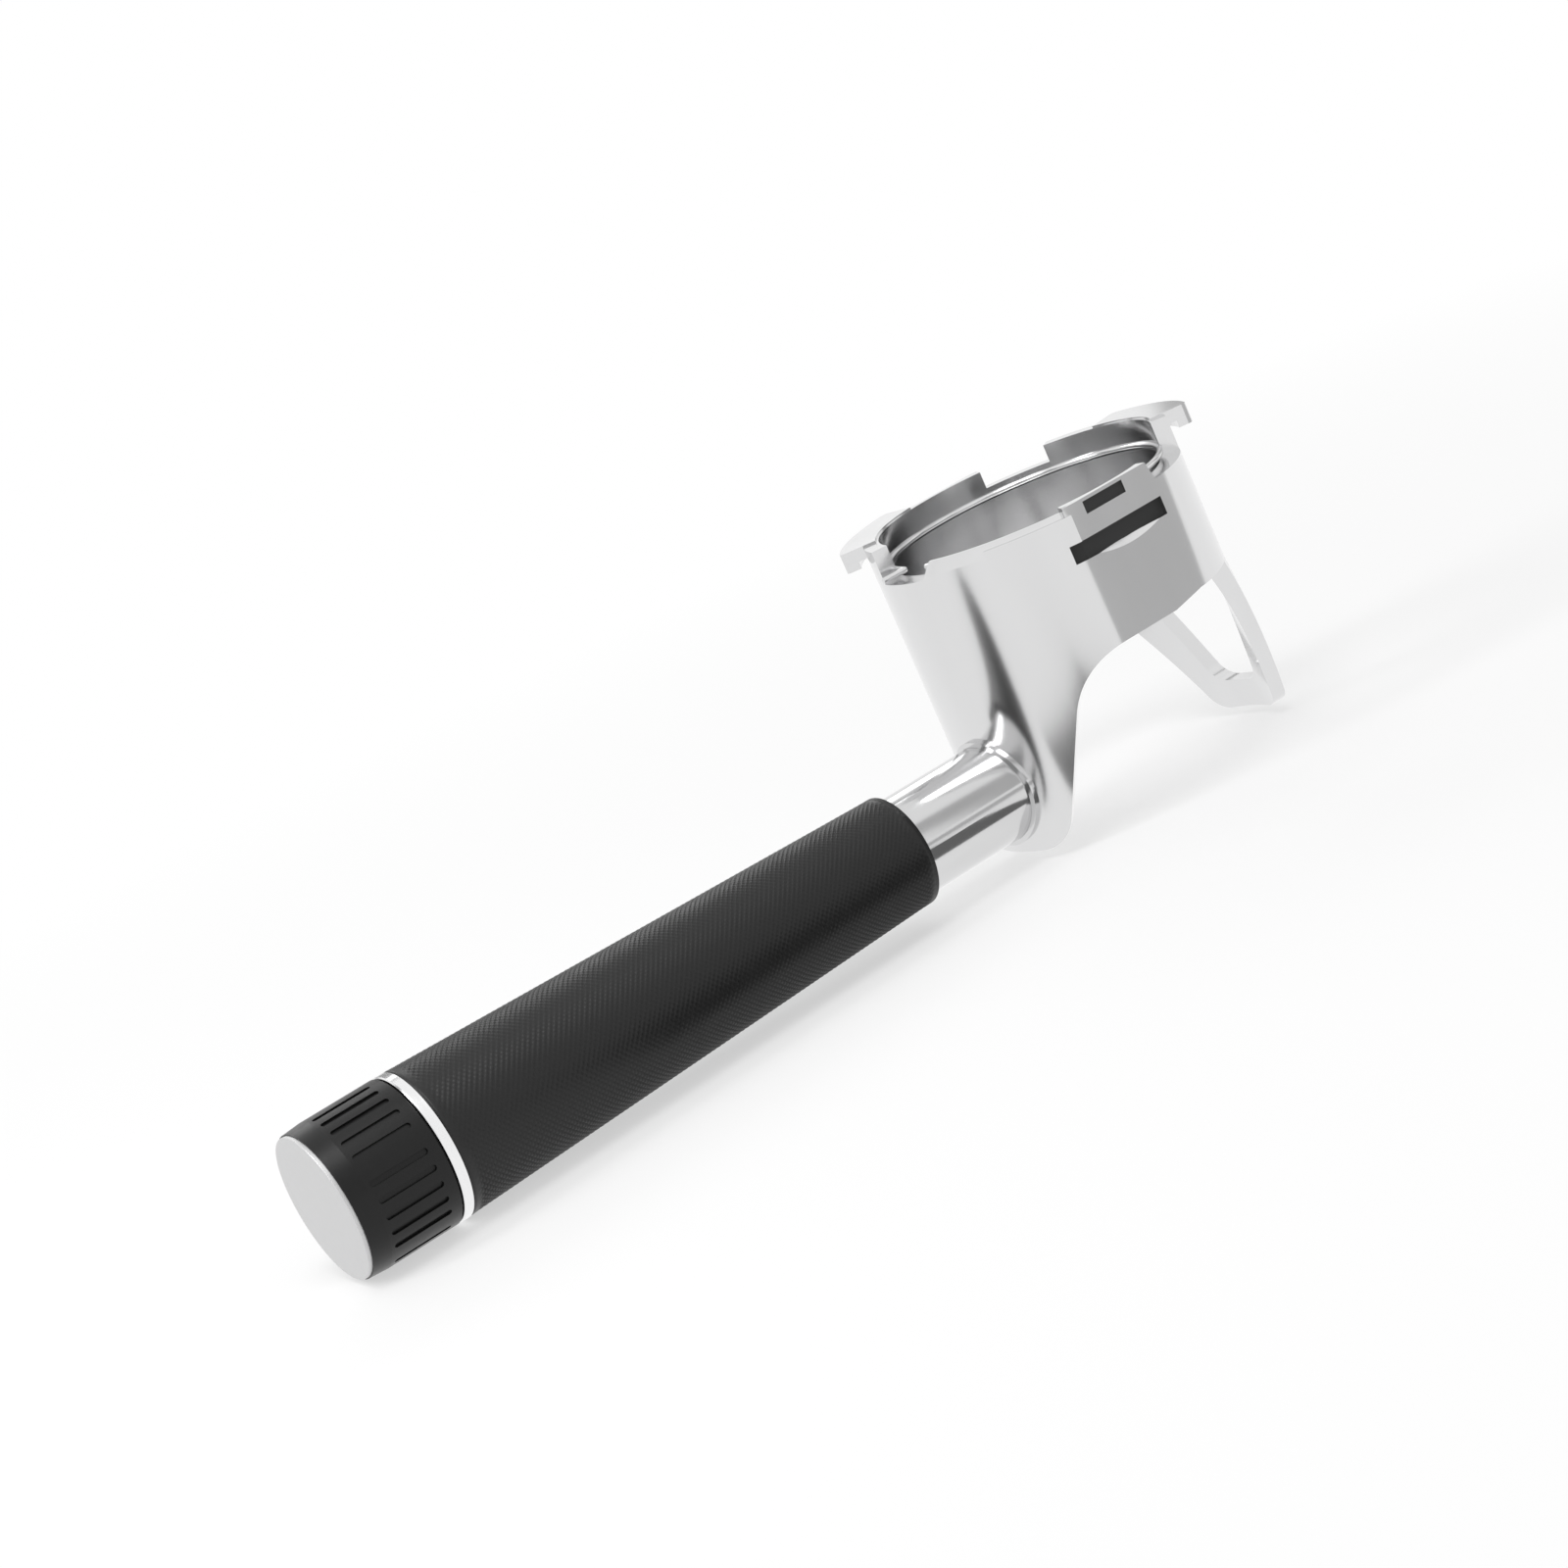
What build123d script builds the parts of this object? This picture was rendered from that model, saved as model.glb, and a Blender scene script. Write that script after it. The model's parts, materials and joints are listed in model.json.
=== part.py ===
from build123d import *
import os
from math import cos, radians, sin, sqrt

os.makedirs("parts", exist_ok=True)

# Portafilter (espresso filter holder), millimetres.
# The origin is on the collar axis at the ledge that carries the filter basket. +Z is up,
# the handle points along -X and the foot stands at +X. Azimuths run counter-clockwise
# from +X about +Z, and stations are distances from the collar axis along the handle.

# ---- collar: lower body and bayonet ring -------------------------------------------
collar_r = 35.0  # outside radius of the round wall
bore_r = 30.4  # bore that guides the basket
rim_bore_r = 31.4  # bore above the ledge
skirt_bore_r = 31.4  # relieved bore below the guiding band
guide_depth = 13.2  # length of the guiding band below the ledge
seam_z = -4.8  # joint between the body and the bayonet ring
skirt_z = -27.5  # lower rim of the collar
flat_y = 33.0  # half-width over the two side flats
flat_blend_r = 12.0  # rounding between a flat and the round wall
rest_z = -64.2  # the tab and the foot end at this level

# ---- handle tab of the body ---------------------------------------------------------
tab_cut_azimuth = 135.0  # direction in which the tab's sides are cut
tab_top_u = 5.3  # where the side's line meets the skirt, across that direction
tab_slope = 0.481  # inward run of the side for each unit of drop
tab_shoulder_r = 17.7  # hollow between the skirt and the tab
tab_tip_r = 10.0  # rounding at the tab's lower corners

# ---- front rim and foot -------------------------------------------------------------
front_rim_z = -26.0
rise_start_x = 3.0  # the skirt rises to the front rim between these
rise_end_x = 11.0
foot_wall = 3.6
foot_flare_mid = 1.6  # how far the loop leans out half-way down
foot_flare = 3.6  # how far it leans out at the bottom
foot_top_half = 24.6  # half-widths over the loop's two arms
foot_bottom_half = 9.8
foot_corner_r = 5.0
loop_top_half = 17.3  # half-widths of the hole in the loop
loop_bottom_half = 7.0
loop_corner_r = 5.0
foot_bar = 6.8  # height of the bar under the hole

# ---- bayonet ring -------------------------------------------------------------------
near_rim_z = 1.9
near_rim_az = (-168.0, -72.0)
wall_top_z = 6.4
front_wall_az = (-33.0, 40.0)
rear_wall_az = (68.0, 165.0)
far_rim_z = 2.5
pad_top_z = 3.0
pad_az = (-112.0, -72.0)
pad_end_x = 9.7  # top corner of the pad's sloping end
notch_z = -1.1
handle_notch_az = (165.0, 192.0)
side_notch_az = (-72.0, -33.0)
band_az = (-142.0, -110.0)
band_proud = 0.35
band_top_z = 1.1
band_groove = 0.3
rim_slope_drop = 2.3  # fall of the sloping rim from inside to outside
ear_r = 40.3
ear_top_z = 6.8
ear_plate = 2.8
ear_lip_in_r = 37.0
ear_lip_z = 2.4
ear_inner_r = 32.0
ear_corner_r = 1.2
front_ear_az = (-28.0, 17.0)
rear_ear_az = (103.0, 148.0)

# ---- slots with their rubber grip pads ----------------------------------------------
long_slot_x = (-14.6, 10.2)
long_slot_height = 4.0
short_slot_x = (-8.2, 2.7)
short_slot_z = (-0.4, 2.3)
grip_pad_recess = 1.2
rim_pad_recess = 0.45
pad_gap = 0.05
scoop_x = (-9.0, 8.0)  # shallow ground hollow under the long slot
scoop_drop = 1.3
scoop_sphere_r = 40.0

# ---- basket spring ------------------------------------------------------------------
wire_radius = 0.65
wire_ring_r = 31.15
wire_gap_half = 8.0  # half the opening of the ring, in degrees
wire_end_r = 36.6  # tip of the bent end
wire_clearance = 0.03

# ---- handle -------------------------------------------------------------------------
handle_z = -49.9
tube_r = 11.1
tube_bore_r = 8.5
tube_end = 92.0
weld_leg = 1.1
grip_start = 62.0
grip_end = 182.5
grip_front_r = 12.6
grip_rear_r = 16.1
grip_edge_r = 1.0
sleeve_wall = 1.6
fit = 0.03  # radial clearance of fixed round fits
face_gap = 0.3  # axial clearance between core and tube
front_ring_station = 66.0
front_ring_section = 0.45

rod_r = 4.0
rod_start = 74.0
rod_end = 194.0
plug_length = 20.0
dowel_r = 1.5
dowel_length = 11.0
front_dowel_offset = 6.3
rear_dowel_offset = 9.0

bushing_length = 6.5  # part of the rear bushing inside the sleeve
trim_width = 2.3
trim_r = 16.15
trim_edge = 0.25
boss_r = 11.0
boss_cavity_r = 8.6
boss_floor = 0.5  # depth of the cavity's floor behind the grip's end
boss_length = 14.0
washer_r = 8.3
washer_t = 1.2
spring_washer_r = 6.6
spring_washer_t = 1.8
spring_washer_slit = 0.8
nut_flats = 13.0
nut_height = 6.5

# ---- end cap ------------------------------------------------------------------------
cap_gap = 0.15  # between the trim ring and the screwed-home cap
cap_r = 16.1
cap_shoulder_r = 15.75
cap_shoulder = 4.0  # length of the tapered shoulder
cap_length = 20.8  # from the trim ring to the cap's end face
cap_edge = 0.5
cap_mouth_r = 11.6
cap_mouth = 3.2
insert_r = 13.0
insert_clearance = 0.08
thrust_t = 1.9
thrust_hole_r = 5.0
cap_ring_section = 0.5
cap_ring_station = 186.2
groove_groups = 5
grooves_per_group = 5
groove_pitch = 12.8  # degrees between grooves in a group
groove_phase = 192.6  # middle of the first group, from +Y towards +Z
groove_width = 1.3
groove_depth = 0.5
groove_length = 13.0
groove_start = 3.0  # distance from the trim ring
disc_r = 15.46
disc_t = 0.8
disc_edge = 0.12
adhesive_r = 14.9
adhesive_t = 0.3

# ---- derived places -----------------------------------------------------------------
handle_axis = Axis((0, 0, handle_z), (-1, 0, 0))
turning_plane = Plane(origin=(0, 0, handle_z), x_dir=(-1, 0, 0), z_dir=(0, 1, 0))
grip_taper = (grip_rear_r - grip_front_r) / (grip_end - grip_start)
core_start = tube_end + face_gap
core_end = grip_end - bushing_length
trim_end = grip_end + trim_width
boss_end = grip_end + boss_length
cavity_floor = grip_end + boss_floor
cap_start = trim_end + cap_gap
cap_end = trim_end + cap_length
thrust_end = boss_end + thrust_t
far = 80.0  # reach of cutting tools, beyond every surface


def radial_plane(azimuth):
    """Plane through the collar axis: local x points outward, local y points up."""
    a = radians(azimuth)
    return Plane(origin=(0, 0, 0), x_dir=(cos(a), sin(a), 0), z_dir=(sin(a), -cos(a), 0))


def wall_sector(azimuths, radii, heights, mode=Mode.ADD):
    """A stretch of round wall with a rectangular section, in the active part."""
    with BuildSketch(radial_plane(azimuths[0])) as section:
        with Locations(((radii[0] + radii[1]) / 2, (heights[0] + heights[1]) / 2)):
            Rectangle(radii[1] - radii[0], heights[1] - heights[0])
    revolve(section.sketch, axis=Axis.Z, revolution_arc=azimuths[1] - azimuths[0], mode=mode)


def turned_sector(azimuths, points, mode=Mode.ADD):
    """A stretch of a ring about the collar axis from a closed (radius, height) outline."""
    with BuildSketch(radial_plane(azimuths[0])) as section:
        with BuildLine():
            Polyline(*points, close=True)
        make_face()
    revolve(section.sketch, axis=Axis.Z, revolution_arc=azimuths[1] - azimuths[0], mode=mode)


def turn_on_handle(points, mode=Mode.ADD):
    """A body turned about the handle axis from a closed (station, radius) outline."""
    with BuildSketch(turning_plane) as section:
        with BuildLine():
            Polyline(*points, close=True)
        make_face()
    revolve(section.sketch, axis=handle_axis, mode=mode)


def handle_plane(station):
    """Plane across the handle at a station: local y points up, normal points rearward."""
    return Plane(origin=(-station, 0, handle_z), x_dir=(0, -1, 0), z_dir=(-1, 0, 0))


def sleeve_outer(station):
    return grip_front_r + grip_taper * (station - grip_start)


def sleeve_inner(station):
    return sleeve_outer(station) - sleeve_wall


def slot_block(x_range, z_range, y_range):
    """A box given by its three ranges, in the active part's private space."""
    size = [b - a for a, b in (x_range, y_range, z_range)]
    middle = [(a + b) / 2 for a, b in (x_range, y_range, z_range)]
    return Pos(*middle) * Box(*size, mode=Mode.PRIVATE)


# Plan outline shared by the body and the ring: a circle with two blended side flats.
with BuildSketch() as collar_outline:
    Circle(collar_r)
    Rectangle(2 * collar_r, 2 * flat_y, mode=Mode.INTERSECT)
    fillet(collar_outline.vertices(), flat_blend_r)

long_slot_z = (seam_z - long_slot_height, seam_z)
long_slot = slot_block(long_slot_x, (long_slot_z[0], seam_z + 1), (-far, -bore_r / 2))
short_slot = slot_block(short_slot_x, short_slot_z, (-far, -bore_r / 2))

# ---- holder body --------------------------------------------------------------------
# Tool that cuts one side of the tab, drawn across a direction between side and handle.
tool_angle = radians(-tab_cut_azimuth)
tab_tool_plane = Plane(
    origin=(0, 0, 0),
    x_dir=(-sin(tool_angle), cos(tool_angle), 0),
    z_dir=(cos(tool_angle), sin(tool_angle), 0),
)
tab_foot_u = tab_top_u - tab_slope * (skirt_z - rest_z)
with BuildPart() as tab_tool:
    with BuildSketch(tab_tool_plane) as tab_side:
        with BuildLine():
            Polyline(
                (far, skirt_z),
                (tab_top_u, skirt_z),
                (tab_foot_u, rest_z),
                (-far, rest_z),
                (-far, rest_z - far),
                (far, rest_z - far),
                close=True,
            )
        make_face()
        shoulder = tab_side.vertices().sort_by_distance((tab_top_u, skirt_z))[0]
        fillet(shoulder, tab_shoulder_r)
        tip = tab_side.vertices().sort_by_distance((tab_foot_u, rest_z))[0]
        fillet(tip, tab_tip_r)
    extrude(amount=far)

with BuildPart() as holder_body:
    with BuildSketch(Plane.XY.offset(rest_z)):
        add(collar_outline.sketch)
    extrude(amount=seam_z - rest_z)
    step = skirt_bore_r - bore_r
    turned_sector(
        (0, 360),
        [
            (0, rest_z - 1),
            (skirt_bore_r, rest_z - 1),
            (skirt_bore_r, -guide_depth - step),
            (bore_r, -guide_depth),
            (bore_r, seam_z + 1),
            (0, seam_z + 1),
        ],
        Mode.SUBTRACT,
    )
    # Below the skirt only the handle tab is left.
    add(slot_block((0, far), (rest_z - 1, skirt_z), (-far, far)), mode=Mode.SUBTRACT)
    add(tab_tool.part, mode=Mode.SUBTRACT)
    add(mirror(tab_tool.part, about=Plane.XZ, mode=Mode.PRIVATE), mode=Mode.SUBTRACT)
    # The rim rises a little towards the foot.
    with BuildSketch(Plane.XZ):
        with BuildLine():
            Polyline(
                (rise_start_x, skirt_z - 1),
                (rise_start_x, skirt_z),
                (rise_end_x, front_rim_z),
                (far, front_rim_z),
                (far, skirt_z - 1),
                close=True,
            )
        make_face()
    extrude(amount=far, both=True, mode=Mode.SUBTRACT)
    # Long slot in the top edge of the near flat, closed above by the bayonet ring.
    add(long_slot, mode=Mode.SUBTRACT)
    # Shallow lens-shaped hollow that eases the slot's lower edge.
    scoop_half = (scoop_x[1] - scoop_x[0]) / 2
    scoop_r = (scoop_half**2 + scoop_drop**2) / (2 * scoop_drop)
    scoop_y = -flat_y - sqrt(scoop_sphere_r**2 - scoop_r**2)
    scoop_centre = (sum(scoop_x) / 2, scoop_y, long_slot_z[0] - scoop_drop + scoop_r)
    scoop = Pos(*scoop_centre) * Sphere(scoop_sphere_r, mode=Mode.PRIVATE)
    below_slot = slot_block(scoop_x, (skirt_z, long_slot_z[0]), (-far, -bore_r / 2))
    add(scoop & below_slot, mode=Mode.SUBTRACT)
holder_body.part.label = "holder_body"
export_step(holder_body.part, "parts/holder_body.step")

# ---- bayonet ring -------------------------------------------------------------------
with BuildPart() as bayonet_ring:
    wall_sector((0, 360), (bore_r, collar_r), (seam_z, 0))
    rim = (rim_bore_r, collar_r)
    wall_sector(near_rim_az, rim, (0, near_rim_z))
    wall_sector(pad_az, rim, (0, pad_top_z))
    wall_sector(front_wall_az, rim, (0, wall_top_z))
    wall_sector((front_wall_az[1], rear_wall_az[0]), rim, (0, far_rim_z))
    wall_sector(rear_wall_az, rim, (0, wall_top_z))
    for notch in (handle_notch_az, side_notch_az):
        wall_sector(notch, (bore_r - 1, collar_r + 1), (notch_z, far), Mode.SUBTRACT)
    # The near rim falls outward between the handle notch and the proud band.
    slope_top = (rim_bore_r + 0.6, near_rim_z)
    turned_sector(
        (near_rim_az[0], pad_az[0]),
        [
            slope_top,
            (collar_r + 1, near_rim_z - rim_slope_drop * 4 / 3),
            (collar_r + 1, near_rim_z + 1),
            (slope_top[0], near_rim_z + 1),
        ],
        Mode.SUBTRACT,
    )
    with BuildSketch(Plane.XY.offset(seam_z)):
        add(collar_outline.sketch)
    extrude(amount=far, mode=Mode.INTERSECT)
    # Sloping end of the raised pad beside the notch.
    with BuildSketch(Plane.XZ):
        with BuildLine():
            Polyline(
                (pad_end_x, pad_top_z),
                (pad_end_x + 1.0, notch_z),
                (pad_end_x + 3.0, notch_z),
                (pad_end_x + 3.0, pad_top_z + 1),
                (pad_end_x, pad_top_z + 1),
                close=True,
            )
        make_face()
    extrude(amount=collar_r, mode=Mode.SUBTRACT)
    # Proud band with the fine groove behind it.
    wall_sector(band_az, (collar_r - 0.7, collar_r + band_proud), (seam_z, band_top_z))
    groove_out = collar_r - 0.7
    wall_sector(
        band_az, (groove_out - band_groove, groove_out), (band_top_z - 0.9, far), Mode.SUBTRACT
    )
    # Ears: plates with a turned-down lip, which lock under the machine's group.
    ear_section = [
        (ear_inner_r, ear_top_z),
        (ear_r, ear_top_z),
        (ear_r, ear_lip_z),
        (ear_lip_in_r, ear_lip_z),
        (ear_lip_in_r, ear_top_z - ear_plate),
        (ear_inner_r, ear_top_z - ear_plate),
    ]
    for ear in (front_ear_az, rear_ear_az):
        turned_sector(ear, ear_section)
    ear_corners = [
        edge
        for edge in bayonet_ring.edges().filter_by(Axis.Z)
        if abs(Vector(edge.center().X, edge.center().Y).length - ear_r) < 0.01
    ]
    fillet(ear_corners, ear_corner_r)
    # Seat of the basket spring, and the short slot through the pad.
    with BuildSketch(radial_plane(0)) as wire_seat:
        with Locations((wire_ring_r, wire_radius + wire_clearance)):
            Circle(wire_radius + wire_clearance)
    revolve(wire_seat.sketch, axis=Axis.Z, mode=Mode.SUBTRACT)
    add(short_slot, mode=Mode.SUBTRACT)
bayonet_ring.part.label = "bayonet_ring"
export_step(bayonet_ring.part, "parts/bayonet_ring.step")

# ---- front foot ---------------------------------------------------------------------
foot_mid_z = (front_rim_z + rest_z) / 2
with BuildPart() as front_foot:
    with BuildSketch(radial_plane(-60)) as foot_section:
        with BuildLine():
            outer = ThreePointArc(
                (collar_r, front_rim_z),
                (collar_r + foot_flare_mid, foot_mid_z),
                (collar_r + foot_flare, rest_z),
            )
            inner = ThreePointArc(
                (collar_r - foot_wall, front_rim_z),
                (collar_r - foot_wall + foot_flare_mid, foot_mid_z),
                (collar_r - foot_wall + foot_flare, rest_z),
            )
            Line(outer @ 0, inner @ 0)
            Line(outer @ 1, inner @ 1)
        make_face()
    revolve(axis=Axis.Z, revolution_arc=120)
    with BuildSketch(Plane.YZ) as loop:
        with BuildLine():
            Polyline(
                (-foot_top_half, front_rim_z),
                (-foot_bottom_half, rest_z),
                (foot_bottom_half, rest_z),
                (foot_top_half, front_rim_z),
                close=True,
            )
        make_face()
        fillet(loop.vertices().group_by(Axis.Y)[0], foot_corner_r)
        hole_bottom_z = rest_z + foot_bar
        hole_slope = (loop_top_half - loop_bottom_half) / (front_rim_z - hole_bottom_z)
        with BuildLine():
            Polyline(
                (-loop_top_half - hole_slope, front_rim_z + 1),
                (-loop_bottom_half, hole_bottom_z),
                (loop_bottom_half, hole_bottom_z),
                (loop_top_half + hole_slope, front_rim_z + 1),
                close=True,
            )
        make_face(mode=Mode.SUBTRACT)
        hole_corners = [
            corner
            for corner in loop.vertices()
            if abs(corner.Z - hole_bottom_z) < 0.01 or abs(corner.Y - hole_bottom_z) < 0.01
        ]
        fillet(hole_corners, loop_corner_r)
    extrude(amount=far, mode=Mode.INTERSECT)
front_foot.part.label = "front_foot"
export_step(front_foot.part, "parts/front_foot.step")

# ---- basket spring: an open wire ring with one end bent out through the notch --------
wire_z = wire_radius + wire_clearance
with BuildPart() as basket_spring:
    with BuildSketch(radial_plane(wire_gap_half - 180)) as wire_section:
        with Locations((wire_ring_r, wire_z)):
            Circle(wire_radius)
    revolve(axis=Axis.Z, revolution_arc=360 - 2 * wire_gap_half)
    bend = radians(180 - wire_gap_half)
    bend_point = (wire_ring_r * cos(bend), wire_ring_r * sin(bend), wire_z)
    with Locations(bend_point):
        Sphere(wire_radius)
    with BuildSketch(Plane(origin=bend_point, z_dir=(cos(bend), sin(bend), 0))):
        Circle(wire_radius)
    extrude(amount=wire_end_r - wire_ring_r)
basket_spring.part.label = "basket_spring"
export_step(basket_spring.part, "parts/basket_spring.step")


def pad_in_slot(slot_x, slot_z, inner_r, recess):
    """Rubber pad that fills a slot from the bore to a recess below the flat."""
    with BuildSketch(Plane.XY.offset(slot_z[0])) as plan:
        Circle(collar_r - recess)
        Circle(inner_r, mode=Mode.SUBTRACT)
        with Locations(((slot_x[0] + slot_x[1]) / 2, -(flat_y - recess) / 2)):
            Rectangle(slot_x[1] - slot_x[0], flat_y - recess, mode=Mode.INTERSECT)
    extrude(plan.sketch, amount=slot_z[1] - slot_z[0])


# ---- rubber pads in the slots -------------------------------------------------------
with BuildPart() as basket_grip_pad:
    pad_in_slot(long_slot_x, long_slot_z, bore_r + pad_gap, grip_pad_recess)
basket_grip_pad.part.label = "basket_grip_pad"
export_step(basket_grip_pad.part, "parts/basket_grip_pad.step")

with BuildPart() as rim_grip_pad:
    wire_outer_r = wire_ring_r + wire_radius + wire_clearance
    pad_in_slot(short_slot_x, short_slot_z, wire_outer_r + pad_gap, rim_pad_recess)
rim_grip_pad.part.label = "rim_grip_pad"
export_step(rim_grip_pad.part, "parts/rim_grip_pad.step")

# ---- neck tube, coped to the collar, and its weld bead ------------------------------
with BuildPart() as neck_tube:
    with BuildSketch(handle_plane(bore_r / 2)):
        Circle(tube_r)
        Circle(tube_bore_r, mode=Mode.SUBTRACT)
    extrude(amount=tube_end - bore_r / 2)
    with BuildSketch(Plane.XY.offset(handle_z - far)):
        Circle(collar_r)
    extrude(amount=2 * far, mode=Mode.SUBTRACT)
neck_tube.part.label = "neck_tube"
export_step(neck_tube.part, "parts/neck_tube.step")

with BuildPart() as neck_weld_bead:
    with BuildSketch(handle_plane(bore_r / 2)):
        Circle(tube_r + weld_leg)
        Circle(tube_r + fit, mode=Mode.SUBTRACT)
    extrude(amount=collar_r)
    with BuildSketch(Plane.XY.offset(handle_z - far)):
        Circle(collar_r + weld_leg)
    extrude(amount=2 * far, mode=Mode.INTERSECT)
    with BuildSketch(Plane.XY.offset(handle_z - far)):
        Circle(collar_r)
    extrude(amount=2 * far, mode=Mode.SUBTRACT)
neck_weld_bead.part.label = "neck_weld_bead"
export_step(neck_weld_bead.part, "parts/neck_weld_bead.step")

# ---- plug, rod and dowels inside the grip -------------------------------------------
with BuildPart() as neck_plug:
    turn_on_handle(
        [
            (tube_end - plug_length, rod_r + fit),
            (tube_end - plug_length, tube_bore_r - fit),
            (tube_end, tube_bore_r - fit),
            (tube_end, rod_r + fit),
        ]
    )
    with BuildSketch(handle_plane(tube_end)):
        with Locations((0, front_dowel_offset)):
            Circle(dowel_r + fit)
    extrude(amount=-dowel_length / 2, mode=Mode.SUBTRACT)
neck_plug.part.label = "neck_plug"
export_step(neck_plug.part, "parts/neck_plug.step")

with BuildPart() as tie_rod:
    with BuildSketch(handle_plane(rod_start)):
        Circle(rod_r)
    extrude(amount=rod_end - rod_start)
    chamfer(tie_rod.edges().filter_by(GeomType.CIRCLE), rod_r / 8)
tie_rod.part.label = "tie_rod"
export_step(tie_rod.part, "parts/tie_rod.step")

front_dowel_start = tube_end - dowel_length / 2
rear_dowel_start = core_end - dowel_length / 2
with BuildPart() as dowel_pins:
    for dowel_start, offset in (
        (front_dowel_start, front_dowel_offset),
        (rear_dowel_start, rear_dowel_offset),
    ):
        with BuildSketch(handle_plane(dowel_start)):
            with Locations((0, offset)):
                Circle(dowel_r)
        extrude(amount=dowel_length)
dowel_pins.part.label = "dowel_pins"
export_step(dowel_pins.part, "parts/dowel_pins.step")

# ---- grip: core, knurled sleeve and the ring that centres it on the tube -------------
with BuildPart() as grip_core:
    turn_on_handle(
        [
            (core_start, rod_r + face_gap),
            (core_start, sleeve_inner(core_start) - fit),
            (core_end, sleeve_inner(core_end) - fit),
            (core_end, rod_r + face_gap),
        ]
    )
    with BuildSketch(handle_plane(core_start)):
        with Locations((0, front_dowel_offset)):
            Circle(dowel_r + fit)
    extrude(amount=dowel_length / 2 + fit, mode=Mode.SUBTRACT)
    with BuildSketch(handle_plane(core_end)):
        with Locations((0, rear_dowel_offset)):
            Circle(dowel_r + fit)
    extrude(amount=-dowel_length / 2 - fit, mode=Mode.SUBTRACT)
grip_core.part.label = "grip_core"
export_step(grip_core.part, "parts/grip_core.step")

ring_groove_half = front_ring_section + fit
with BuildPart() as grip_sleeve:
    tube_seat_r = tube_r + fit
    turn_on_handle(
        [
            (grip_start, tube_seat_r),
            (grip_start, grip_front_r),
            (grip_end, grip_rear_r),
            (grip_end, sleeve_inner(grip_end)),
            (core_start, sleeve_inner(core_start)),
            (core_start, tube_seat_r),
        ]
    )
    front_rim = grip_sleeve.edges().group_by(Axis.X)[-1].sort_by(SortBy.RADIUS)[-1]
    fillet(front_rim, grip_edge_r)
    groove_top = tube_r + 2 * ring_groove_half
    turn_on_handle(
        [
            (front_ring_station - ring_groove_half, tube_r),
            (front_ring_station - ring_groove_half, groove_top),
            (front_ring_station + ring_groove_half, groove_top),
            (front_ring_station + ring_groove_half, tube_r),
        ],
        Mode.SUBTRACT,
    )
grip_sleeve.part.label = "grip_sleeve"
export_step(grip_sleeve.part, "parts/grip_sleeve.step")


def o_ring(station, section, centre_r):
    """A round-section ring about the handle axis, in the active part."""
    with BuildSketch(turning_plane) as loop_section:
        with Locations((station, centre_r)):
            Circle(section)
    revolve(loop_section.sketch, axis=handle_axis)


with BuildPart() as front_o_ring:
    o_ring(front_ring_station, front_ring_section, tube_r + ring_groove_half)
front_o_ring.part.label = "front_o_ring"
export_step(front_o_ring.part, "parts/front_o_ring.step")

# ---- rear bushing with the boss that carries the end cap ----------------------------
cap_ring_half = cap_ring_section + fit
cap_ring_r = boss_r - cap_ring_section / 3
with BuildPart() as rear_bushing:
    turn_on_handle(
        [
            (core_end + fit, rod_r + 0.1),
            (core_end + fit, sleeve_inner(core_end + fit) - fit),
            (grip_end, sleeve_inner(grip_end) - fit),
            (grip_end, boss_r),
            (boss_end, boss_r),
            (boss_end, boss_cavity_r),
            (cavity_floor, boss_cavity_r),
            (cavity_floor, rod_r + 0.1),
        ]
    )
    turn_on_handle(
        [
            (cap_ring_station - cap_ring_half, cap_ring_r - cap_ring_half),
            (cap_ring_station - cap_ring_half, boss_r + 1),
            (cap_ring_station + cap_ring_half, boss_r + 1),
            (cap_ring_station + cap_ring_half, cap_ring_r - cap_ring_half),
        ],
        Mode.SUBTRACT,
    )
    with BuildSketch(handle_plane(core_end)):
        with Locations((0, rear_dowel_offset)):
            Circle(dowel_r + fit)
    extrude(amount=dowel_length / 2 + fit, mode=Mode.SUBTRACT)
rear_bushing.part.label = "rear_bushing"
export_step(rear_bushing.part, "parts/rear_bushing.step")

with BuildPart() as trim_ring:
    turn_on_handle(
        [
            (grip_end, boss_r + fit),
            (grip_end, trim_r),
            (trim_end, trim_r),
            (trim_end, boss_r + fit),
        ]
    )
    outer_rims = [e for e in trim_ring.edges().filter_by(GeomType.CIRCLE) if e.radius > boss_r + 1]
    chamfer(outer_rims, trim_edge)
trim_ring.part.label = "trim_ring"
export_step(trim_ring.part, "parts/trim_ring.step")

with BuildPart() as cap_o_ring:
    o_ring(cap_ring_station, cap_ring_section, cap_ring_r)
cap_o_ring.part.label = "cap_o_ring"
export_step(cap_o_ring.part, "parts/cap_o_ring.step")

# ---- washers and nut on the rod, hidden in the boss ---------------------------------
washer_end = cavity_floor + washer_t
spring_end = washer_end + spring_washer_t
with BuildPart() as flat_washer:
    turn_on_handle(
        [
            (cavity_floor, rod_r + 0.1),
            (cavity_floor, washer_r),
            (washer_end, washer_r),
            (washer_end, rod_r + 0.1),
        ]
    )
flat_washer.part.label = "flat_washer"
export_step(flat_washer.part, "parts/flat_washer.step")

with BuildPart() as spring_washer:
    turn_on_handle(
        [
            (washer_end, rod_r + 0.1),
            (washer_end, spring_washer_r),
            (spring_end, spring_washer_r),
            (spring_end, rod_r + 0.1),
        ]
    )
    with BuildSketch(handle_plane(washer_end)):
        with Locations((0, spring_washer_r)):
            Rectangle(spring_washer_slit, 2 * spring_washer_r)
    extrude(amount=spring_washer_t, mode=Mode.SUBTRACT)
spring_washer.part.label = "spring_washer"
export_step(spring_washer.part, "parts/spring_washer.step")

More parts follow.
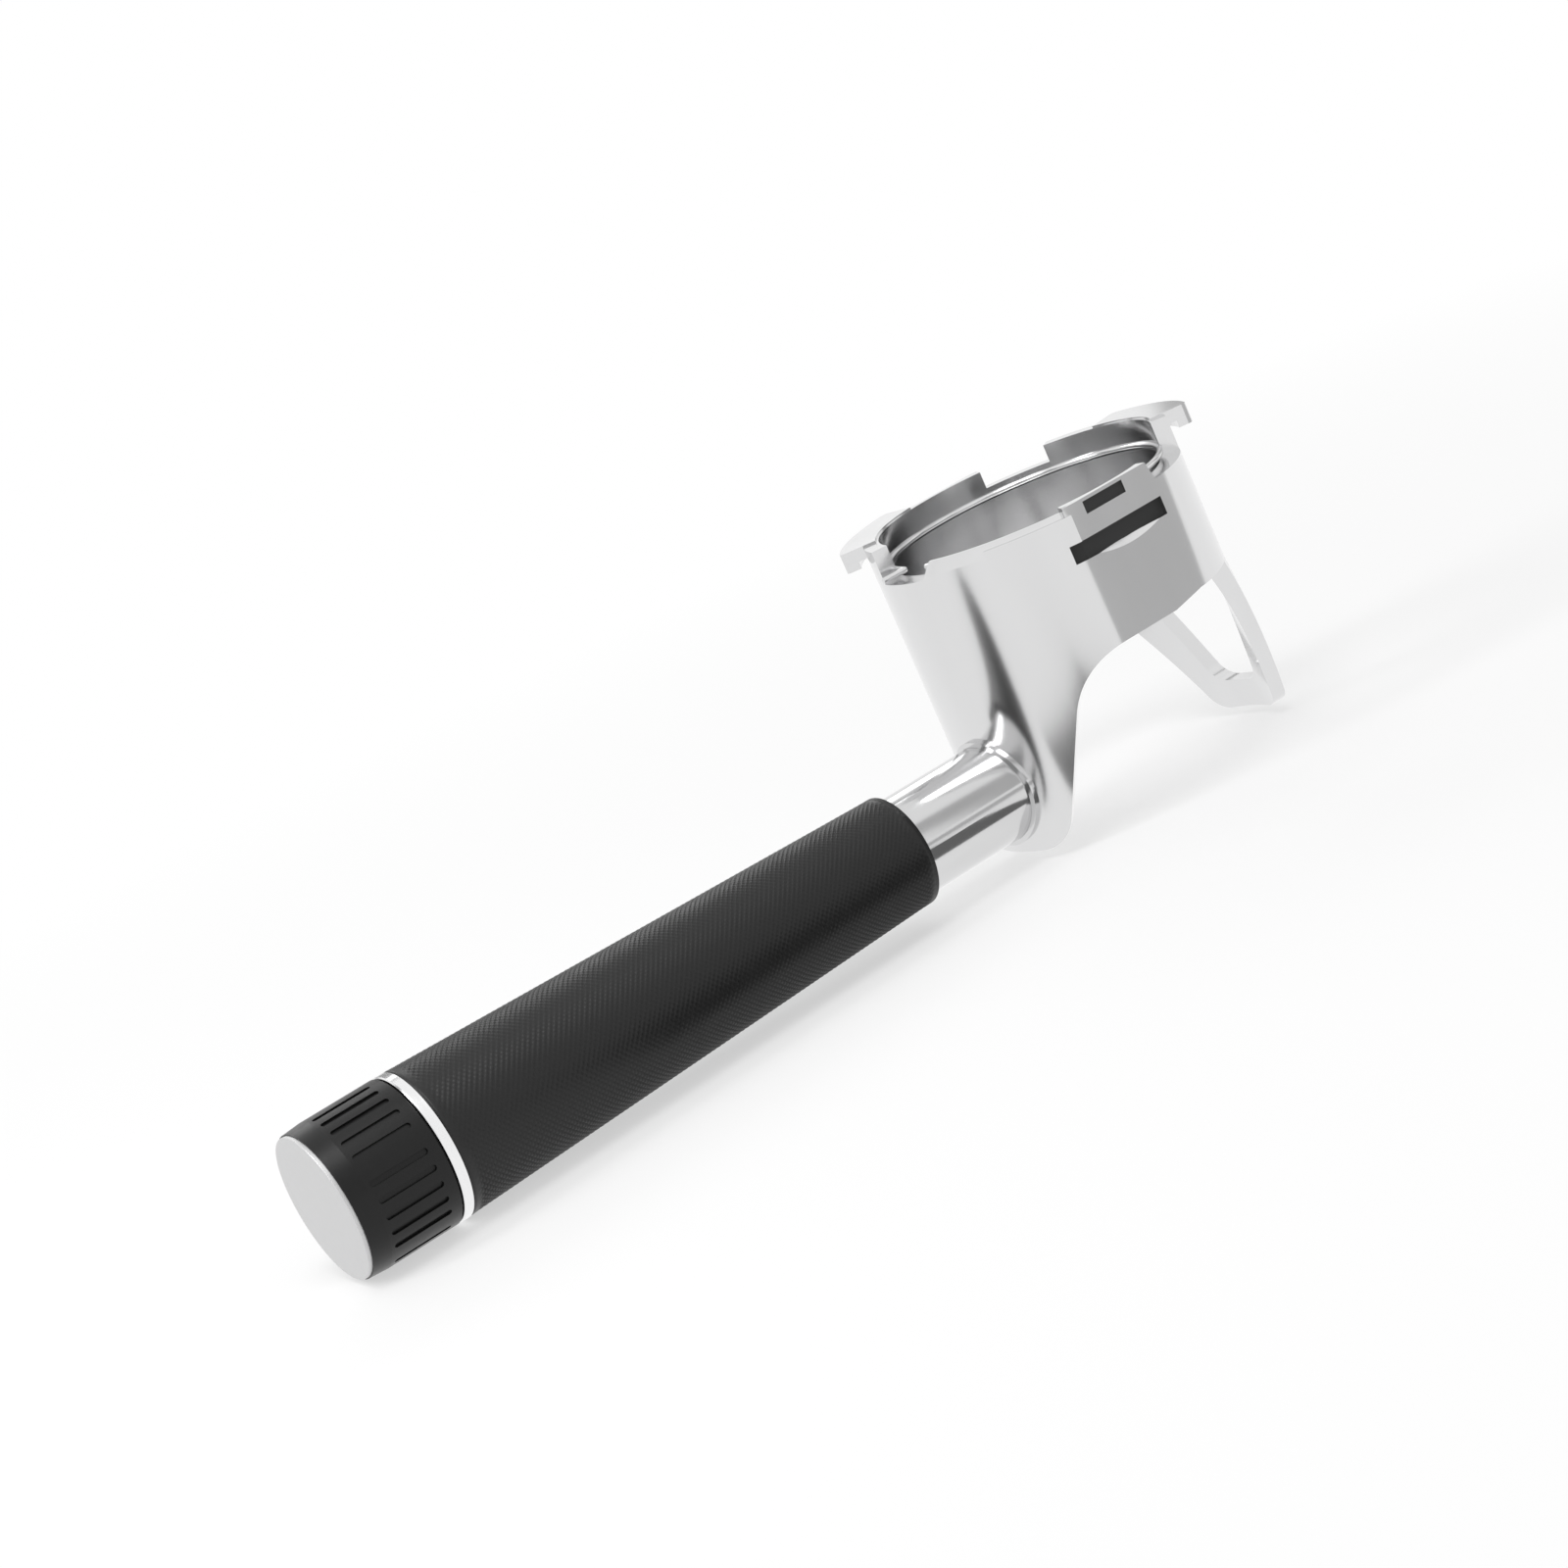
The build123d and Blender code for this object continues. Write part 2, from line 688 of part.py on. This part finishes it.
with BuildPart() as lock_nut:
    with BuildSketch(handle_plane(spring_end)):
        RegularPolygon(nut_flats / 2, 6, major_radius=False)
        Circle(rod_r + fit, mode=Mode.SUBTRACT)
    extrude(amount=nut_height)
lock_nut.part.label = "lock_nut"
export_step(lock_nut.part, "parts/lock_nut.step")

# ---- end cap ------------------------------------------------------------------------
groove_angles = [
    groove_phase + 360 / groove_groups * group + groove_pitch * (i - (grooves_per_group - 1) / 2)
    for group in range(groove_groups)
    for i in range(grooves_per_group)
]
groove_station = trim_end + groove_start + groove_length / 2
with BuildPart() as end_cap:
    turn_on_handle(
        [
            (cap_start, cap_mouth_r),
            (cap_start, cap_r - cap_edge),
            (cap_start + cap_edge, cap_r),
            (cap_end - cap_shoulder, cap_r),
            (cap_end, cap_shoulder_r),
            (cap_end, adhesive_r + fit),
            (cap_end - adhesive_t, adhesive_r + fit),
            (cap_end - adhesive_t, 0),
            (thrust_end, 0),
            (thrust_end, insert_r),
            (cap_start + cap_mouth, insert_r),
            (cap_start + cap_mouth, cap_mouth_r),
        ]
    )
    for angle in groove_angles:
        a = radians(angle)
        outward = (0, cos(a), sin(a))
        touch = (-groove_station, cap_r * cos(a), handle_z + cap_r * sin(a))
        with BuildSketch(Plane(origin=touch, x_dir=(1, 0, 0), z_dir=outward)):
            SlotOverall(groove_length, groove_width)
        extrude(amount=-groove_depth, mode=Mode.SUBTRACT)
end_cap.part.label = "end_cap"
export_step(end_cap.part, "parts/end_cap.step")

with BuildPart() as cap_threaded_insert:
    turn_on_handle(
        [
            (cap_start + cap_mouth, boss_r + insert_clearance),
            (cap_start + cap_mouth, insert_r - fit),
            (boss_end - fit, insert_r - fit),
            (boss_end - fit, boss_r + insert_clearance),
        ]
    )
cap_threaded_insert.part.label = "cap_threaded_insert"
export_step(cap_threaded_insert.part, "parts/cap_threaded_insert.step")

with BuildPart() as cap_thrust_washer:
    turn_on_handle(
        [
            (boss_end, thrust_hole_r),
            (boss_end, insert_r - 0.1),
            (thrust_end, insert_r - 0.1),
            (thrust_end, thrust_hole_r),
        ]
    )
cap_thrust_washer.part.label = "cap_thrust_washer"
export_step(cap_thrust_washer.part, "parts/cap_thrust_washer.step")

with BuildPart() as disc_adhesive_pad:
    with BuildSketch(handle_plane(cap_end - adhesive_t)):
        Circle(adhesive_r)
    extrude(amount=adhesive_t)
disc_adhesive_pad.part.label = "disc_adhesive_pad"
export_step(disc_adhesive_pad.part, "parts/disc_adhesive_pad.step")

with BuildPart() as end_disc:
    with BuildSketch(handle_plane(cap_end)):
        Circle(disc_r)
    extrude(amount=disc_t)
    chamfer(end_disc.edges().group_by(Axis.X)[0], disc_edge)
end_disc.part.label = "end_disc"
export_step(end_disc.part, "parts/end_disc.step")
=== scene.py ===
"""Looks of the portafilter: polished steel collar, chrome neck, knurled black grip, grooved cap."""

import json
import math

import bpy
from mathutils import Matrix, Vector


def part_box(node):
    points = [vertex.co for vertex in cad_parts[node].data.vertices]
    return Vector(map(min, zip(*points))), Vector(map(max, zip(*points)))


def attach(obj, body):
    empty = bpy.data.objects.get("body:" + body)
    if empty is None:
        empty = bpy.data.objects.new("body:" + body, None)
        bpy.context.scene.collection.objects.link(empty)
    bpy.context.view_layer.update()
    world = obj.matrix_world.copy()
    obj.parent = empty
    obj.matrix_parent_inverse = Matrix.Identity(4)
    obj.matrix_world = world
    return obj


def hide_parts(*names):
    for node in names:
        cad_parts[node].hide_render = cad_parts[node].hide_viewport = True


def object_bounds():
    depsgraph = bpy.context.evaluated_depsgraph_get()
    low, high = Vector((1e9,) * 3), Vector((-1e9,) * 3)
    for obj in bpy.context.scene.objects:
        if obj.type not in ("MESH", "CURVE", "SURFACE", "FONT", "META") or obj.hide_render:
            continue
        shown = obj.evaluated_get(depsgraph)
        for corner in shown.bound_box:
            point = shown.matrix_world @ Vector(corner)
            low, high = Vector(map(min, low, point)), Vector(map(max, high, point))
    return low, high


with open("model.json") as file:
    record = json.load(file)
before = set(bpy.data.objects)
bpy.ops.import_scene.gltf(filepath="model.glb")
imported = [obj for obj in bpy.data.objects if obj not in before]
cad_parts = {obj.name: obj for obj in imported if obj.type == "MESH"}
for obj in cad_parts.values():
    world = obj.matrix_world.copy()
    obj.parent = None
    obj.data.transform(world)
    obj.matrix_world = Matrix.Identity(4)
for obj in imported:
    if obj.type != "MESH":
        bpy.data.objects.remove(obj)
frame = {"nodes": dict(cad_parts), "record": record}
cad_low, cad_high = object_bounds()
scene = bpy.context.scene
nodes = frame["nodes"]

# ---- places taken from the frame ----------------------------------------------------
sleeve_low, sleeve_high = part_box("grip_sleeve")
AXIS_Z = (sleeve_low.z + sleeve_high.z) / 2
GRIP_REAR_X = sleeve_low.x
GRIP_FRONT_X = sleeve_high.x
GRIP_REAR_R = (sleeve_high.y - sleeve_low.y) / 2
GRIP_FRONT_R = 0.0126
tube_low, tube_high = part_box("neck_tube")
TUBE_R = (tube_high.y - tube_low.y) / 2

# ---- studio: lengths in metres, angles in degrees, card levels from 0 black to 1 white --
CAMERA_PLACE = (-0.37524, -0.575, 0.1185)
CAMERA_ANGLES = (-27.18, 12.5, -24.41)
CAMERA_LENS = 74.46
SENSOR_WIDTH = 36.0

FLOOR_RADIUS = 1.2
FLOOR_SIDES = 64
FLOOR_GAP = 0.0003
FLOOR_DIFFUSE = 0.9
FLOOR_WHITE_SHARE = 0.55
FLOOR_WHITE_FROM = 0.55
WORLD_LIGHT = 0.6

CARD_LIFT = 0.0005
FLOOR_CARDS = (
    ("card_front", (0.27, -0.36), (0.27, 0.25), 0.55),
    ("card_neck", (-0.075, -0.085), (0.055, 0.06), 0.16),
)
STRIP_DISTANCE = 0.8
STRIP_HALF_HEIGHT = 0.45
# angle round the object, half width and level of each upright strip
STRIPS = (
    (12, 0.07, 0.35), (48, 0.05, 0.5), (80, 0.08, 0.3), (112, 0.05, 0.5), (150, 0.08, 0.3),
    (172, 0.04, 0.55), (205, 0.09, 0.4), (232, 0.04, 0.2), (262, 0.08, 0.55), (300, 0.06, 0.5),
    (335, 0.08, 0.35),
)

LAMP_TARGET = (0.0, 0.0, -0.02)
LAMPS = (
    ("key", (-0.25, -0.3, 0.8), (0.4, 0.4), 2.6),
    ("fill", (-0.75, 0.15, 0.45), (0.15, 0.6), 2.0),
    ("back", (0.1, 0.8, 0.5), (0.8, 0.3), 1.5),
)


# ---- camera and stage ---------------------------------------------------------------
def make_camera():
    """The main view, from the cap end and the side of the slots, with the camera rolled."""
    data = bpy.data.cameras.new("camera")
    data.sensor_width = SENSOR_WIDTH
    data.lens = CAMERA_LENS
    camera = bpy.data.objects.new("camera", data)
    scene.collection.objects.link(camera)
    azimuth, elevation, roll = (math.radians(v) for v in CAMERA_ANGLES)
    back = Vector(
        (
            math.sin(azimuth) * math.cos(elevation),
            -math.cos(azimuth) * math.cos(elevation),
            math.sin(elevation),
        )
    )
    right = (-back).cross(Vector((0, 0, 1))).normalized()
    up = right.cross(-back)
    image_x = math.cos(roll) * right + math.sin(roll) * up
    image_up = -math.sin(roll) * right + math.cos(roll) * up
    turn = Matrix((image_x, image_up, back)).transposed().to_4x4()
    camera.matrix_world = Matrix.Translation(CAMERA_PLACE) @ turn
    scene.camera = camera


def floor_material():
    """Pale floor: takes shadow near the object and fades to plain white further out."""
    material = bpy.data.materials.new("floor")
    material.use_nodes = True
    nt = material.node_tree
    nt.nodes.clear()
    out = nt.nodes.new("ShaderNodeOutputMaterial")
    diffuse = nt.nodes.new("ShaderNodeBsdfDiffuse")
    diffuse.inputs["Color"].default_value = (FLOOR_DIFFUSE, FLOOR_DIFFUSE, FLOOR_DIFFUSE, 1)
    white = nt.nodes.new("ShaderNodeEmission")
    white.inputs["Strength"].default_value = 1.0
    coords = nt.nodes.new("ShaderNodeTexCoord")
    distance = nt.nodes.new("ShaderNodeVectorMath")
    distance.operation = "LENGTH"
    nt.links.new(coords.outputs["Object"], distance.inputs[0])
    fade = nt.nodes.new("ShaderNodeMapRange")
    fade.inputs["From Min"].default_value = FLOOR_WHITE_FROM / 3
    fade.inputs["From Max"].default_value = FLOOR_WHITE_FROM
    fade.inputs["To Min"].default_value = FLOOR_WHITE_SHARE
    fade.inputs["To Max"].default_value = 1.0
    nt.links.new(distance.outputs["Value"], fade.inputs["Value"])
    ground = nt.nodes.new("ShaderNodeMixShader")
    nt.links.new(fade.outputs["Result"], ground.inputs["Fac"])
    nt.links.new(diffuse.outputs[0], ground.inputs[1])
    nt.links.new(white.outputs[0], ground.inputs[2])
    path = nt.nodes.new("ShaderNodeLightPath")
    mirrored = nt.nodes.new("ShaderNodeMath")
    mirrored.operation = "MAXIMUM"
    nt.links.new(path.outputs["Is Glossy Ray"], mirrored.inputs[0])
    nt.links.new(path.outputs["Is Transmission Ray"], mirrored.inputs[1])
    choose = nt.nodes.new("ShaderNodeMixShader")
    nt.links.new(mirrored.outputs[0], choose.inputs["Fac"])
    nt.links.new(ground.outputs[0], choose.inputs[1])
    nt.links.new(white.outputs[0], choose.inputs[2])
    nt.links.new(choose.outputs[0], out.inputs["Surface"])
    return material


def make_stage():
    """Pale round floor under the lowest point, centred below the object."""
    turns = [2 * math.pi * k / FLOOR_SIDES for k in range(FLOOR_SIDES)]
    ring = [(FLOOR_RADIUS * math.cos(turn), FLOOR_RADIUS * math.sin(turn), 0.0) for turn in turns]
    mesh = bpy.data.meshes.new("floor")
    mesh.from_pydata(ring, [], [tuple(range(FLOOR_SIDES))])
    floor = bpy.data.objects.new("floor", mesh)
    floor.location = ((cad_low.x + cad_high.x) / 2, 0.0, cad_low.z - FLOOR_GAP)
    scene.collection.objects.link(floor)
    mesh.materials.append(floor_material())


def make_world():
    """Plain white world, a little softer as light than as background."""
    world = bpy.data.worlds.new("studio")
    scene.world = world
    world.use_nodes = True
    nt = world.node_tree
    nt.nodes.clear()
    out = nt.nodes.new("ShaderNodeOutputWorld")
    light = nt.nodes.new("ShaderNodeBackground")
    light.inputs["Color"].default_value = (1, 1, 1, 1)
    light.inputs["Strength"].default_value = WORLD_LIGHT
    white = nt.nodes.new("ShaderNodeBackground")
    white.inputs["Color"].default_value = (1, 1, 1, 1)
    white.inputs["Strength"].default_value = 1.0
    path = nt.nodes.new("ShaderNodeLightPath")
    seen = nt.nodes.new("ShaderNodeMath")
    seen.operation = "MAXIMUM"
    nt.links.new(path.outputs["Is Camera Ray"], seen.inputs[0])
    nt.links.new(path.outputs["Is Glossy Ray"], seen.inputs[1])
    mix = nt.nodes.new("ShaderNodeMixShader")
    nt.links.new(seen.outputs[0], mix.inputs["Fac"])
    nt.links.new(light.outputs[0], mix.inputs[1])
    nt.links.new(white.outputs[0], mix.inputs[2])
    nt.links.new(mix.outputs[0], out.inputs["Surface"])


def card(name, centre, across, along, level):
    """A grey card that only shows in reflections; across and along are its half sides."""
    centre, across, along = Vector(centre), Vector(across), Vector(along)
    corners = [centre - across - along, centre + across - along, centre + across + along,
               centre - across + along]
    mesh = bpy.data.meshes.new(name)
    mesh.from_pydata(corners, [], [(0, 1, 2, 3)])
    material = bpy.data.materials.new(name)
    material.use_nodes = True
    nt = material.node_tree
    nt.nodes.clear()
    out = nt.nodes.new("ShaderNodeOutputMaterial")
    grey_side = nt.nodes.new("ShaderNodeEmission")
    grey_side.inputs["Color"].default_value = (level, level, level, 1)
    nt.links.new(grey_side.outputs[0], out.inputs["Surface"])
    mesh.materials.append(material)
    piece = bpy.data.objects.new(name, mesh)
    scene.collection.objects.link(piece)
    piece.visible_camera = False
    piece.visible_diffuse = False
    piece.visible_shadow = False


def make_cards():
    """Cards on the floor and strips round the object, for the bands in the polished steel."""
    low = cad_low.z + CARD_LIFT
    for name, (x, y), (half_x, half_y), level in FLOOR_CARDS:
        card(name, (x, y, low), (half_x, 0, 0), (0, half_y, 0), level)
    for count, (degrees, wide, level) in enumerate(STRIPS):
        turn = math.radians(degrees)
        outward = Vector((math.cos(turn), math.sin(turn), 0))
        sideways = Vector((-math.sin(turn), math.cos(turn), 0))
        centre = STRIP_DISTANCE * outward + Vector((0, 0, STRIP_HALF_HEIGHT))
        across = wide * sideways
        card(f"card_strip_{count}", centre, across, (0, 0, STRIP_HALF_HEIGHT), level)


def area_lamp(name, place, size, power):
    """A soft rectangular lamp aimed at the collar."""
    data = bpy.data.lights.new(name, "AREA")
    data.shape = "RECTANGLE"
    data.size, data.size_y = size
    data.energy = power
    lamp = bpy.data.objects.new(name, data)
    scene.collection.objects.link(lamp)
    lamp.location = place
    aim = Vector(LAMP_TARGET) - Vector(place)
    lamp.rotation_euler = aim.to_track_quat("-Z", "Y").to_euler()


# ---- materials ----------------------------------------------------------------------
GRAIN_DEPTH = 0.00005


def principled(name, colour, metallic, roughness, **sockets):
    """A new material with one Principled shader; constants go straight on its sockets."""
    material = bpy.data.materials.new(name)
    material.use_nodes = True
    shader = material.node_tree.nodes["Principled BSDF"]
    shader.inputs["Base Color"].default_value = (*colour, 1)
    shader.inputs["Metallic"].default_value = metallic
    shader.inputs["Roughness"].default_value = roughness
    for socket, value in sockets.items():
        shader.inputs[socket.replace("_", " ")].default_value = value
    return material


def add_grain(material, scale, stretch, rough, bump, tint=None):
    """Roughness, bump and slight colour variation from stretched object-space noise."""
    nt = material.node_tree
    shader = nt.nodes["Principled BSDF"]
    coords = nt.nodes.new("ShaderNodeTexCoord")
    mapping = nt.nodes.new("ShaderNodeMapping")
    mapping.inputs["Scale"].default_value = stretch
    noise = nt.nodes.new("ShaderNodeTexNoise")
    noise.inputs["Scale"].default_value = scale
    noise.inputs["Detail"].default_value = 6.0
    nt.links.new(coords.outputs["Object"], mapping.inputs["Vector"])
    nt.links.new(mapping.outputs["Vector"], noise.inputs["Vector"])
    spread = nt.nodes.new("ShaderNodeMapRange")
    spread.inputs["To Min"].default_value, spread.inputs["To Max"].default_value = rough
    nt.links.new(noise.outputs["Fac"], spread.inputs["Value"])
    nt.links.new(spread.outputs["Result"], shader.inputs["Roughness"])
    relief = nt.nodes.new("ShaderNodeBump")
    relief.inputs["Strength"].default_value = bump
    relief.inputs["Distance"].default_value = GRAIN_DEPTH
    nt.links.new(noise.outputs["Fac"], relief.inputs["Height"])
    nt.links.new(relief.outputs["Normal"], shader.inputs["Normal"])
    if tint:
        ramp = nt.nodes.new("ShaderNodeValToRGB")
        ramp.color_ramp.elements[0].color = (*tint[0], 1)
        ramp.color_ramp.elements[1].color = (*tint[1], 1)
        nt.links.new(noise.outputs["Fac"], ramp.inputs["Fac"])
        nt.links.new(ramp.outputs["Color"], shader.inputs["Base Color"])
    return material


def grey(level):
    """A neutral colour with a trace of blue."""
    return (level, level, level * 1.005)


def make_materials():
    """Every finish on the object, by the name of its slot in the record."""
    made = {}
    steel = principled("polished_steel", grey(0.72), 1.0, 0.14)
    made["polished_steel"] = add_grain(
        steel, 90.0, (1, 1, 0.25), (0.10, 0.20), 0.02, (grey(0.68), grey(0.75))
    )
    chrome = principled("neck_chrome", grey(0.66), 1.0, 0.10)
    made["neck_chrome"] = add_grain(
        chrome, 120.0, (0.3, 1, 1), (0.07, 0.16), 0.02, (grey(0.60), grey(0.72))
    )
    spring = principled("spring_steel", grey(0.7), 1.0, 0.18)
    made["spring_steel"] = add_grain(spring, 300.0, (1, 1, 1), (0.14, 0.24), 0.02)
    # Near-black matte finish of the liner behind the slots: painted shade, a dark sheet standing in
    # for the shadow deep in the slot gaps.
    slot_shade_black = principled("black_rubber", grey(0.018), 0.0, 0.7)
    made["black_rubber"] = add_grain(
        slot_shade_black, 500.0, (1, 1, 1), (0.55, 0.8), 0.2, (grey(0.012), grey(0.026))
    )
    grip = principled("grip_black", grey(0.008), 0.0, 0.42, Specular_IOR_Level=0.4)
    made["grip_black"] = add_grain(
        grip, 260.0, (1, 1, 1), (0.34, 0.5), 0.1, (grey(0.006), grey(0.010))
    )
    core = principled("core_plastic", grey(0.1), 0.0, 0.5)
    made["core_plastic"] = add_grain(core, 200.0, (1, 1, 1), (0.45, 0.6), 0.1)
    trim = principled("trim_silver", grey(0.86), 1.0, 0.16)
    made["trim_silver"] = add_grain(
        trim, 160.0, (6, 1, 1), (0.12, 0.24), 0.05, (grey(0.82), grey(0.9))
    )
    cap = principled("cap_black", grey(0.007), 0.0, 0.36, Specular_IOR_Level=0.28)
    made["cap_black"] = add_grain(
        cap, 700.0, (1, 1, 1), (0.3, 0.42), 0.08, (grey(0.006), grey(0.009))
    )
    disc = principled("disc_silver", grey(0.60), 0.55, 0.42)
    made["disc_silver"] = add_grain(
        disc, 900.0, (1, 1, 1), (0.38, 0.5), 0.08, (grey(0.58), grey(0.63))
    )
    zinc = principled("zinc_hardware", (0.6, 0.6, 0.57), 1.0, 0.35)
    made["zinc_hardware"] = add_grain(zinc, 150.0, (1, 1, 1), (0.28, 0.42), 0.05)
    bushing = principled("bushing_aluminium", grey(0.66), 1.0, 0.3)
    made["bushing_aluminium"] = add_grain(bushing, 200.0, (8, 1, 1), (0.22, 0.36), 0.06)
    brass = principled("insert_brass", (0.74, 0.55, 0.25), 1.0, 0.28)
    made["insert_brass"] = add_grain(brass, 200.0, (8, 1, 1), (0.2, 0.34), 0.06)
    nylon = principled("thrust_nylon", (0.84, 0.83, 0.78), 0.0, 0.5)
    made["thrust_nylon"] = add_grain(nylon, 150.0, (1, 1, 1), (0.42, 0.58), 0.05)
    foam = principled("adhesive", (0.75, 0.75, 0.72), 0.0, 0.8)
    made["adhesive"] = add_grain(foam, 600.0, (1, 1, 1), (0.7, 0.9), 0.2)
    return made


def dress(made):
    """Gives each CAD node the finish of its record slot."""
    for row in frame["record"]["subparts"]:
        mesh = nodes[row["node"]].data
        mesh.materials.clear()
        mesh.materials.append(made[row["material_slot"]])


# ---- knurled grip sleeve ------------------------------------------------------------
KNURL_STARTS = 60
KNURL_RISE = 0.00028
KNURL_LEAD = 1.35
ROUND_STEPS = KNURL_STARTS * 4
LENGTH_STEP = 2 * math.pi / ROUND_STEPS * GRIP_REAR_R / KNURL_LEAD
PLAIN_END = 0.0016
REAR_LIP = 0.0016
DISH_DEPTH = 0.001
DISH_STEPS = 6
TUBE_CLEARANCE = 0.00003


def grip_radius(x):
    """Outer radius of the tapered sleeve, on the points of the diamonds."""
    share = (GRIP_FRONT_X - x) / (GRIP_FRONT_X - GRIP_REAR_X)
    return GRIP_FRONT_R + (GRIP_REAR_R - GRIP_FRONT_R) * share


def knurl(angle, x):
    """Height of the diamond pattern, 0 in the valleys and 1 on the points."""
    twist = (GRIP_FRONT_X - DISH_DEPTH - x) / GRIP_REAR_R * KNURL_LEAD
    one = abs(math.sin((angle + twist) * KNURL_STARTS / 2))
    two = abs(math.sin((angle - twist) * KNURL_STARTS / 2))
    return min(one, two)


def grip_rings():
    """Place, radius and share of the pattern, from 0 to 1, of each ring of the skin."""
    length = GRIP_FRONT_X - GRIP_REAR_X
    rings = [(GRIP_FRONT_X, TUBE_R + TUBE_CLEARANCE, 0.0)]
    for k in range(DISH_STEPS + 1):
        depth = DISH_DEPTH * (1 - math.sin(math.pi / 2 * k / DISH_STEPS))
        x = GRIP_FRONT_X - depth
        rings.append((x, grip_radius(x) - depth, 0.0))
    for k in range(1, int((length - DISH_DEPTH) / LENGTH_STEP)):
        x = GRIP_FRONT_X - DISH_DEPTH - LENGTH_STEP * k
        near = min(GRIP_FRONT_X - x, x - GRIP_REAR_X)
        fade = max(0.0, min(1.0, (near - PLAIN_END / 2) / PLAIN_END))
        rings.append((x, grip_radius(x), fade))
    rings.append((GRIP_REAR_X, GRIP_REAR_R, 0.0))
    rings.append((GRIP_REAR_X, GRIP_REAR_R - REAR_LIP, 0.0))
    return rings


def make_grip(material):
    """Sleeve's skin with the diamonds: dished front end, plain ends, open on the inside."""
    rings = grip_rings()
    verts, faces = [], []
    for x, radius, fade in rings:
        for s in range(ROUND_STEPS):
            angle = 2 * math.pi * s / ROUND_STEPS
            r = radius - KNURL_RISE * fade * (1 - knurl(angle, x))
            verts.append((x, r * math.cos(angle), AXIS_Z + r * math.sin(angle)))
    for k in range(len(rings) - 1):
        for s in range(ROUND_STEPS):
            t = (s + 1) % ROUND_STEPS
            a, b = k * ROUND_STEPS, (k + 1) * ROUND_STEPS
            faces.append((a + s, a + t, b + t, b + s))
    mesh = bpy.data.meshes.new("grip_skin")
    mesh.from_pydata(verts, [], faces)
    mesh.materials.append(material)
    mesh.shade_smooth()
    grip = bpy.data.objects.new("grip_skin", mesh)
    scene.collection.objects.link(grip)
    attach(grip, "root")
    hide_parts("grip_sleeve")


scene.view_settings.view_transform = "Standard"
make_camera()
make_stage()
make_world()
make_cards()
for lamp_row in LAMPS:
    area_lamp(*lamp_row)
materials = make_materials()
dress(materials)
make_grip(materials["grip_black"])
